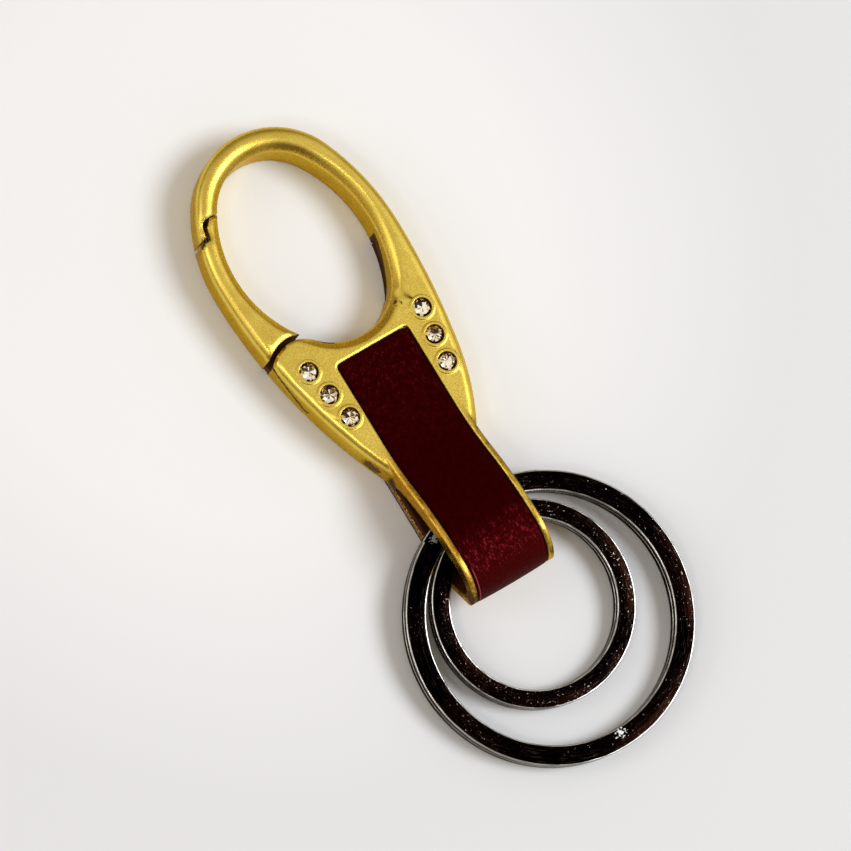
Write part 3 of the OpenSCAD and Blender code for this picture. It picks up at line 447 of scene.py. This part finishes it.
def black_nickel(name, centre, tilt, radius, width, thick, spots):
    # Black plating, rubbed down to silver along the wire's edges and the seam of its two turns
    made, tree, shader, where = new_material(name)
    centred = add_node(tree, "ShaderNodeMapping", {"Vector": where}, vector_type="TEXTURE")
    centred.inputs["Location"].default_value = centre
    centred.inputs["Rotation"].default_value = (tilt, 0.0, 0.0)
    ring = place_group(tree, RING_PLACES, Place=centred.outputs["Vector"])
    streaks = noise(tree, ring["Wound"], 9000.0, 3.0, 0.6)
    dots = noise(tree, where, 3000.0, 2.0, 0.7)
    cluster = noise(tree, where, 300.0, 1.0)
    cloud = noise(tree, where, 140.0, 2.0)

    # The flat faces, up to the worn edge on each side
    middle, edge = radius - width / 2, width / 2 - 0.15
    aside = math_node(tree, "ABSOLUTE", math_node(tree, "SUBTRACT", ring["Reach"], middle * MM))
    worn = times(tree, math_node(tree, "SUBTRACT", streaks, 0.5), 0.05 * MM)
    flat = fade(tree, math_node(tree, "ADD", aside, worn), edge - 0.03, edge + 0.03, 1.0, 0.0)

    # The walls, silver along their rims and beside the seam
    level = math_node(tree, "ABSOLUTE", ring["Height"])
    rims = most(tree, fade(tree, level, thick / 2 - 0.24, thick / 2 - 0.14),
                fade(tree, level, 0.10, 0.16, 1.0, 0.0))
    bare = times(tree, rims, ramp(tree, streaks, 0.36, 0.56, 0.35, 1.0))
    silver = mix_colour(tree, bare, WALL_BLACK, WALL_SILVER)

    flecks = noise(tree, drawn_out(tree, ring["Wound"], (1.0, 7.0, 1.0)), 5200.0, 2.0, 0.7)
    # Silver specks and flecks of wear, and the listed spots: scuffs and a painted glint
    specks = most(tree, times(tree, ramp(tree, dots, 0.70, 0.74), ramp(tree, cluster, 0.5, 0.62, 0.0, 0.8)),
                  times(tree, ramp(tree, flecks, 0.66, 0.74, 0.0, 0.6), ramp(tree, cloud, 0.42, 0.58)),
                  scuffs_and_painted_spots(tree, where, spots, 3800.0))
    black = mix_colour(tree, ramp(tree, cloud, 0.4, 0.6), NICKEL_BLACK, NICKEL_BROWN)
    black = mix_colour(tree, ramp(tree, streaks, 0.58, 0.72), black, NICKEL_SCRATCH)
    black = mix_colour(tree, specks, black, NICKEL_SPECK_AND_GLINT)
    tree.links.new(mix_colour(tree, flat, silver, black), shader.inputs["Base Color"])
    shader.inputs["Specular Tint"].default_value = (0.45, 0.42, 0.40, 1.0)
    shader.inputs["Metallic"].default_value = 1.0
    rough = math_node(tree, "ADD", ramp(tree, streaks, 0.3, 0.75, 0.09, 0.22), times(tree, specks, 0.3))
    tree.links.new(rough, shader.inputs["Roughness"])
    bump(tree, shader, math_node(tree, "ADD", streaks, specks), 0.2, 0.02 * MM)
    return made


def strap_leather(name):
    # Nearly black red, pebbled; painted sheen and painted crease highlights lie over the bend, with faint
    # painted highlights near the top
    made, tree, shader, where = new_material(name)
    bent = noise(tree, where, 900.0, 3.0, output="Color")
    pushed = add_node(tree, "ShaderNodeVectorMath", {0: bent, "Scale": 0.0007}, operation="SCALE")
    along = add_node(tree, "ShaderNodeVectorMath", {0: where, 1: pushed.outputs[0]}, operation="ADD")
    cells = add_node(tree, "ShaderNodeTexVoronoi", {"Vector": along.outputs[0], "Scale": 2700.0},
                     feature="SMOOTH_F1")
    pebble = ramp(tree, cells.outputs["Distance"], 0.08, 0.42, 1.0, 0.0)
    creases = noise(tree, where, 1300.0, 5.0, 0.65)
    fine = noise(tree, where, 8000.0, 2.0)
    x, y, z = axes(tree, where)

    # Painted highlights along fine creases in three directions, over the bend and faintly near the top, and
    # a painted sheen over the bend
    bend = times(tree, fade(tree, y, -26.5, -24.0, 1.0, 0.0), fade(tree, y, -30.6, -28.8))
    lines = [noise(tree, drawn_out(tree, where, (1.0, 0.32, 0.6), turn), 5200.0, 1.0)
             for turn in (20.0, 75.0, -40.0)]
    lines = most(tree, *[ramp(tree, line, 0.62, 0.70) for line in lines])
    painted_crease_highlight = times(tree, lines, most(tree, bend, fade(tree, y, -14.0, -3.0, 0.0, 0.3)),
                ramp(tree, creases, 0.44, 0.56))
    painted_sheen = times(tree, bend, ramp(tree, creases, 0.3, 0.7, 0.2, 1.0))
    cut = times(tree, between(tree, x, -4.67, -4.59, 0.04), fade(tree, y, -28.9, -28.2, 1.0, 0.0), 0.8)

    colour = mix_colour(tree, ramp(tree, creases, 0.4, 0.62), LEATHER_DEEP, LEATHER_RED)
    colour = mix_colour(tree, fade(tree, y, -30.5, -27.5, 1.0, 0.0), colour, LEATHER_FRONT)
    colour = mix_colour(tree, painted_sheen, colour, LEATHER_PAINTED_SHEEN)
    colour = mix_colour(tree, painted_crease_highlight, colour, LEATHER_CREASE_HIGHLIGHT)
    colour = mix_colour(tree, cut, colour, LEATHER_CUT)
    tree.links.new(colour, shader.inputs["Base Color"])
    rough = math_node(tree, "SUBTRACT", ramp(tree, fine, 0.3, 0.7, 0.52, 0.66), times(tree, bend, 0.22))
    tree.links.new(rough, shader.inputs["Roughness"])
    shader.inputs["Specular IOR Level"].default_value = 0.05
    shader.inputs["Specular Tint"].default_value = (1.0, 0.03, 0.04, 1.0)
    height = math_node(tree, "ADD", times(tree, pebble, 0.7), times(tree, creases, 1.1))
    bump(tree, shader, height, 0.6, 0.12 * MM)
    return made


def cut_stone(name):
    # Facets painted dark, tan and white under a clear coat: painted shade, painted reflections of the gold
    # and painted highlights
    made, tree, shader, where = new_material(name)
    facet = add_node(tree, "ShaderNodeAttribute", attribute_name="facet").outputs["Fac"]
    colour = mix_colour(tree, ramp(tree, facet, 0.12, 0.36), STONE_PAINTED_SHADE, STONE_PAINTED_TAN_REFLECTION)
    colour = mix_colour(tree, ramp(tree, facet, 0.42, 0.66), colour, STONE_PAINTED_HIGHLIGHT)
    tree.links.new(colour, shader.inputs["Base Color"])
    tree.links.new(ramp(tree, facet, 0.42, 0.66, 1.0, 0.2), shader.inputs["Metallic"])
    haze = noise(tree, where, 2500.0, 2.0)
    tree.links.new(ramp(tree, haze, 0.3, 0.7, 0.05, 0.16), shader.inputs["Roughness"])
    shader.inputs["Coat Weight"].default_value = 1.0
    shader.inputs["Coat Roughness"].default_value = 0.02
    return made


def shade_filler(name):
    made, tree, shader, where = new_material(name)
    colour = mix_colour(tree, noise(tree, where, 3000.0, 4.0), SHADE_FILL_DARK, SHADE_FILL_BROWN)
    tree.links.new(colour, shader.inputs["Base Color"])
    shader.inputs["Roughness"].default_value = 0.8
    shader.inputs["Specular IOR Level"].default_value = 0.02
    bump(tree, shader, noise(tree, where, 5000.0, 3.0), 0.5, 0.04 * MM)
    return made


def plain_steel(name):
    made, tree, shader, where = new_material(name)
    drawn = noise(tree, where, 4000.0, 3.0)
    tree.links.new(mix_colour(tree, drawn, STEEL_DARK, STEEL_LIGHT), shader.inputs["Base Color"])
    shader.inputs["Metallic"].default_value = 1.0
    tree.links.new(ramp(tree, drawn, 0.3, 0.7, 0.22, 0.38), shader.inputs["Roughness"])
    bump(tree, shader, drawn, 0.2, 0.02 * MM)
    return made


GOLD = gold_plating("gold_plating", GOLD_TONE, BODY_MARKS)
GATE_GOLD = gold_plating("gate_gold_plating", GATE_TONE, GATE_MARKS)
GATE_BAR_SHADE = shaded_gate_bar("shaded_gate_bar")
LEATHER = strap_leather("strap_leather")
STONE = cut_stone("cut_stone")
RELIEF_SHADE = shade_filler("shade_filler")
STEEL = plain_steel("plain_steel")


# Mesh helpers

def finish_piece(name, bm, material, body, replaced=(), smooth=40.0):
    mesh = bpy.data.meshes.new(name)
    bm.to_mesh(mesh)
    bm.free()
    mesh.shade_smooth()
    mesh.set_sharp_from_angle(angle=radians(smooth))
    mesh.materials.append(material)
    piece = bpy.data.objects.new(name, mesh)
    bpy.context.scene.collection.objects.link(piece)
    if body:
        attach(piece, body)
    if replaced:
        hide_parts(*replaced)
    return piece


def merged_copy(node):
    bm = bmesh.new()
    bm.from_mesh(nodes[node].data)
    bmesh.ops.remove_doubles(bm, verts=bm.verts, dist=MERGE)
    return bm


def wound(bm, section, sweep, climb, steps):
    # Winds faces round Z by sweep degrees while they climb, and gives the faces at the end
    turned = bmesh.ops.spin(bm, geom=section, cent=(0, 0, 0), axis=(0, 0, 1), dvec=(0, 0, climb),
                            angle=radians(sweep), steps=steps, use_duplicate=False)
    return [g for g in turned["geom_last"] if isinstance(g, bmesh.types.BMFace)]


def turn_about_z(bm, degrees, verts):
    bmesh.ops.rotate(bm, cent=(0, 0, 0), matrix=Matrix.Rotation(radians(degrees), 3, "Z"), verts=verts)


# Gold castings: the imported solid, merged, with even shading

def refill_flat_top(bm):
    # The flat top is filled again from its rim, as one even face
    top = [f for f in bm.faces if all(abs(v.co.z - BODY_THICKNESS * MM) < MERGE for v in f.verts)]
    if top:
        bmesh.ops.delete(bm, geom=top, context="FACES")
        rim = [e for e in bm.edges if len(e.link_faces) == 1]
        bmesh.ops.triangle_fill(bm, use_beauty=True, use_dissolve=False, edges=rim, normal=(0, 0, 1))


def mark_loop_for_shade(bm):
    # The loop's inner walls, below the strap, face its middle; they are marked for painted shade
    inside = bm.faces.layers.float.new("inside")
    for f in bm.faces:
        spot = f.calc_center_median() / MM
        towards = Vector((0.0, -24.0 - spot.y, 4.0 - spot.z)).normalized()
        if spot.y < -15.0 and f.normal.dot(towards) > 0.3 and abs(f.normal.x) < 0.5:
            f[inside] = 1.0


def casting(name, node, body, material):
    bm = merged_copy(node)
    refill_flat_top(bm)
    bmesh.ops.dissolve_limit(bm, angle_limit=radians(0.4), verts=bm.verts, edges=bm.edges)
    bm.normal_update()
    if node == "frame":
        mark_loop_for_shade(bm)
    piece = finish_piece(name, bm, material, body, (node,), 30.0)
    even = piece.modifiers.new("even_shading", "WEIGHTED_NORMAL")
    even.keep_sharp = True
    even.weight = 60


def relief_shade_filler():
    # A dark filler, painted shade, set in the relief low in the right wall of the opening
    near, far, low, high = 18.06, 19.0, 0.03, 1.76
    start, sweep = -30.6, 23.2
    bm = bmesh.new()
    corners = [bm.verts.new(Vector(p) * MM) for p in
               ((near, 0, low), (far, 0, low), (far, 0, high), (near, 0, high))]
    bm.faces.new(corners)
    turn_about_z(bm, start, bm.verts)
    wound(bm, bm.faces[:], sweep, 0.0, 24)
    bmesh.ops.recalc_face_normals(bm, faces=bm.faces)
    bmesh.ops.translate(bm, vec=Vector((*RELIEF_CENTRE, 0.0)) * MM, verts=bm.verts)
    finish_piece("relief_shade_filler", bm, RELIEF_SHADE, "body")


# Leather, one strip along the strap's top line

def strap_line():
    # The line's whole length, and a function from a length along it to place, height and lean
    run = STRAP_RISE_END - STRAP_RISE_START
    lean = 2 * atan(STRAP_RISE / run)
    crest = run / sin(lean) - RISE_RADIUS
    top = BODY_THICKNESS + STRAP_RISE
    flat = STRAP_RISE_START + LEATHER_TOP
    turn = radians(LEATHER_END - 90.0)
    lengths = (flat, RISE_RADIUS * lean, crest * lean, END_RADIUS * turn)

    def along(s):
        if s < lengths[0]:
            return LEATHER_TOP - s, BODY_THICKNESS, pi / 2
        s -= lengths[0]
        if s < lengths[1]:
            a = s / RISE_RADIUS
            return (-STRAP_RISE_START - RISE_RADIUS * sin(a),
                    BODY_THICKNESS + RISE_RADIUS * (1 - cos(a)), pi / 2 - a)
        s -= lengths[1]
        if s < lengths[2]:
            a = lean - s / crest
            return -STRAP_RISE_END + crest * sin(a), top - crest * (1 - cos(a)), pi / 2 - a
        a = (s - lengths[2]) / END_RADIUS
        return (-STRAP_RISE_END - END_RADIUS * sin(a), top - END_RADIUS * (1 - cos(a)), pi / 2 + a)

    return sum(lengths), along


def leather_strip():
    side_gap, shoulder_start, shoulder, shoulder_drop, side_drop = 0.02, 0.9, 0.32, 0.6, 0.25
    corner_round, end_round, end_drop, crown, thickness = 0.6, 0.35, 0.45, 0.11, 0.00035
    total, along = strap_line()
    bm = bmesh.new()
    bmesh.ops.create_grid(bm, x_segments=36, y_segments=190, size=1.0)
    for v in bm.verts:
        u, share = v.co.x, (1 - v.co.y) / 2
        s = total * share
        corner = max(0.0, 1 - s / corner_round)
        half = LEATHER_HALF - side_gap - corner_round * (1 - sqrt(max(0.0, 1 - corner * corner)))
        fold_share = abs(u)
        if fold_share > shoulder_start:
            t = (fold_share - shoulder_start) / (1 - shoulder_start)
            x = half - shoulder * (1 - sin(t * pi / 2))
            h = -shoulder_drop * (1 - cos(t * pi / 2)) - side_drop * t * t
        else:
            x = (half - shoulder) * fold_share / shoulder_start
            h = 0.0
        x = x if u >= 0 else -x
        h += crown * (1 - (x / LEATHER_HALF) ** 2)
        h -= end_drop * (1 - sin(min(s / end_round, 1.0) * pi / 2))
        y, z, lean = along(s)
        v.co = Vector((x, y + h * cos(lean), z + h * sin(lean))) * MM
    bmesh.ops.recalc_face_normals(bm, faces=bm.faces)
    if sum(f.normal.z for f in bm.faces) < 0:
        bmesh.ops.reverse_faces(bm, faces=bm.faces)
    bmesh.ops.solidify(bm, geom=bm.faces[:], thickness=thickness)
    finish_piece("leather_strip", bm, LEATHER, "body", ("leather_inlay",), 60.0)


# Split rings, one flat wire wound twice

def ring_lay(radius, width, thick, x, y, gap):
    # A ring leans on the ring gate and touches the table at its far side
    inner = radius - width
    touch = sqrt(inner ** 2 - (RING_GATE_HALF + x) ** 2)
    tilt = atan((RING_GATE_THICK + gap) / (touch + radius))
    return tilt, Vector((x, -y, radius * sin(tilt) + thick / 2 * cos(tilt)))


def split_ring(name, radius, width, thick, x, y, gap, start, spots):
    tilt, centre = ring_lay(radius, width, thick, x, y, gap)
    material = black_nickel(name + "_plating", centre * MM, tilt, radius, width, thick, spots)
    high = (thick - COIL_PLAY) / 2
    drop, cross_steps, coil, coil_steps = high + COIL_PLAY, 14, 360.0 - CROSSING, 168
    bm = bmesh.new()
    corners = [bm.verts.new(Vector(p) * MM) for p in (
        (radius - width, 0, thick / 2 - high), (radius, 0, thick / 2 - high),
        (radius, 0, thick / 2), (radius - width, 0, thick / 2))]
    bm.faces.new(corners)
    bmesh.ops.bevel(bm, geom=corners, offset=RING_EDGE * 0.93 * MM, segments=4, profile=0.5,
                    affect="VERTICES", material=-1)
    turn_about_z(bm, start + CROSSING, bm.verts)
    section = wound(bm, bm.faces[:], coil, 0.0, coil_steps)
    level = 0.0
    for step in range(cross_steps):
        reached = (1 - cos(pi * (step + 1) / cross_steps)) / 2
        section = wound(bm, section, CROSSING / cross_steps, (level - reached) * drop * MM, 1)
        level = reached
    wound(bm, section, coil, 0.0, coil_steps)
    bmesh.ops.remove_doubles(bm, verts=bm.verts, dist=MERGE * 5)
    bmesh.ops.recalc_face_normals(bm, faces=bm.faces)
    lay = Matrix.Translation(centre * MM) @ Matrix.Rotation(tilt, 4, "X")
    bmesh.ops.transform(bm, matrix=lay, verts=bm.verts)
    finish_piece(name + "_wire", bm, material, name, (name,), 45.0)


# Stones, cut with a flat table and two rows of facets

def brilliant(node):
    play, girdle_height, crown_share, inset, dish = 0.02, 0.70, 0.6, 0.26, 0.06
    low, high = (Vector(c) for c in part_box(node))
    centre, radius = (low + high) / 2, (high.x - low.x) / 2 - play * MM
    girdle = low.z + girdle_height * MM
    rise = high.z - girdle
    bm = bmesh.new()
    bmesh.ops.create_cone(bm, segments=16, radius1=radius, radius2=radius * 0.8,
                          depth=rise * crown_share, cap_ends=True, cap_tris=False)
    table = [f for f in bm.faces if f.normal.z > 0.9]
    bmesh.ops.inset_region(bm, faces=table, thickness=radius * inset, depth=rise * (1 - crown_share))
    turn_about_z(bm, 11.25, list({v for f in table for v in f.verts}))
    bmesh.ops.poke(bm, faces=table, offset=-radius * dish)
    bmesh.ops.triangulate(bm, faces=[f for f in bm.faces if len(f.verts) == 4])
    base = min(v.co.z for v in bm.verts)
    bmesh.ops.translate(bm, vec=(centre.x, centre.y, girdle - base), verts=bm.verts)
    bmesh.ops.recalc_face_normals(bm, faces=bm.faces)
    # Painted light on the facets: painted shade and tan reflections towards the crown, painted highlights
    # towards the strap, shuffled at random, and painted shade on most rim facets
    facet = bm.loops.layers.float_color.new("facet")
    for f in bm.faces:
        spot = f.calc_center_median()
        chance = (sin(spot.x / MM * 37.7 + spot.y / MM * 91.3) * 43758.5453) % 1.0
        out = (spot - centre).to_2d() / radius
        value = 0.46 + 0.5 * out.dot(Vector((-0.49, -0.87))) + 1.2 * (chance - 0.5)
        if out.length > 0.84 and chance < 0.6:
            value = 0.0
        for loop in f.loops:
            loop[facet] = (value, value, value, 1.0)
    finish_piece(node + "_brilliant", bm, STONE, "body", (node,), 2.0)


# Springs and pins

def gate_springs():
    # The hook gate's heel presses its spring down the bore, and the ring gate lifts the leg of the other
    pressed = finish_piece("compression_spring", merged_copy("gate_spring"), STEEL, "body",
                           ("gate_spring",))
    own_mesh(pressed)
    turned = finish_piece("torsion_spring", merged_copy("ring_gate_spring"), STEEL, None,
                          ("ring_gate_spring",))
    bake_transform(turned)


def gate_pins():
    for node in ("gate_pin", "ring_gate_pin"):
        mesh = nodes[node].data
        mesh.materials.clear()
        mesh.materials.append(STEEL)


# Stage and lights

def stage():
    bm = bmesh.new()
    bmesh.ops.create_grid(bm, x_segments=1, y_segments=1, size=3.0)
    bmesh.ops.translate(bm, vec=(0, 0, -0.00002), verts=bm.verts)
    mesh = bpy.data.meshes.new("table_top")
    bm.to_mesh(mesh)
    bm.free()
    made, tree, shader, where = new_material("pale_table")
    # Painted pool of light: the table is lighter near the hook and darker further out
    far = ramp(tree, distance(tree, where, (-0.0053, 0.0191, 0.0)), 0.034, 0.067)
    near_tone = mix_colour(tree, noise(tree, where, 40.0, 3.0), *TABLE_NEAR)
    tree.links.new(mix_colour(tree, far, near_tone, TABLE_FAR), shader.inputs["Base Color"])
    shader.inputs["Roughness"].default_value = 0.9
    mesh.materials.append(made)
    table = bpy.data.objects.new("table_top", mesh)
    bpy.context.scene.collection.objects.link(table)


def softbox(name, place, size, power, colour):
    data = bpy.data.lights.new(name, "AREA")
    data.shape = "DISK"
    data.size = size
    data.energy = power
    data.color = colour
    lamp = bpy.data.objects.new(name, data)
    lamp.location = place
    aim = Vector(LAMPS_AIM) - Vector(place)
    lamp.rotation_euler = aim.to_track_quat("-Z", "Y").to_euler()
    bpy.context.scene.collection.objects.link(lamp)


def studio_world():
    # A dark line low round the room, a bright band above it and a calmer ceiling.
    # Metal and the camera see the room at full strength; elsewhere it only fills the shadows, warmly
    world = bpy.data.worlds.new("studio")
    bpy.context.scene.world = world
    world.use_nodes = True
    tree = world.node_tree
    way = tree.nodes.new("ShaderNodeTexCoord").outputs["Generated"]
    height = axes(tree, way)["Z"]
    room = mix_colour(tree, ramp(tree, height, 0.05, 0.22), ROOM_LOW, ROOM_BAND)
    room = mix_colour(tree, ramp(tree, height, 0.24, 0.42), room, ROOM_BRIGHT)
    room = mix_colour(tree, ramp(tree, height, 0.58, 0.90), room, ROOM_CEILING)
    mottle = noise(tree, way, 2.6, 1.0)
    room = mix_colour(tree, ramp(tree, mottle, 0.50, 0.62, 0.0, 0.55), room, ROOM_MOTTLE)
    for aim, low, high, share, tone in ROOM_PATCHES:
        towards = add_node(tree, "ShaderNodeVectorMath", {0: way, 1: aim}, operation="DOT_PRODUCT")
        room = mix_colour(tree, ramp(tree, towards.outputs["Value"], low, high, 0.0, share), room, tone)
    seen = tree.nodes.new("ShaderNodeLightPath").outputs
    shown = most(tree, seen["Is Camera Ray"], seen["Is Glossy Ray"], seen["Is Transmission Ray"])
    back = tree.nodes["Background"]
    tree.links.new(mix_colour(tree, shown, ROOM_FILL, room), back.inputs["Color"])
    back.inputs["Strength"].default_value = 1.0


def build():
    photo_camera()
    studio_world()
    stage()
    for lamp in LAMPS:
        softbox(*lamp)
    casting("hook_casting", "frame", "body", GOLD)
    casting("hook_gate_casting", "hook_gate", "hook_gate", GATE_GOLD)
    casting("ring_gate_bar", "ring_gate", "ring_gate", GATE_BAR_SHADE)
    relief_shade_filler()
    leather_strip()
    split_ring("big_ring", radius=17.5, width=2.45, thick=2.3, x=2.2, y=37.75, gap=0.12, start=96.0,
               spots=BIG_RING_MARKS)
    split_ring("small_ring", radius=12.4, width=2.25, thick=2.05, x=1.35, y=35.3, gap=0.18, start=80.0,
               spots=SMALL_RING_MARKS)
    for side in ("left", "right"):
        for place in (1, 2, 3):
            brilliant(f"crystal_{side}_{place}")
    gate_pins()
    gate_springs()


build()
bpy.context.scene.view_settings.view_transform = "Standard"
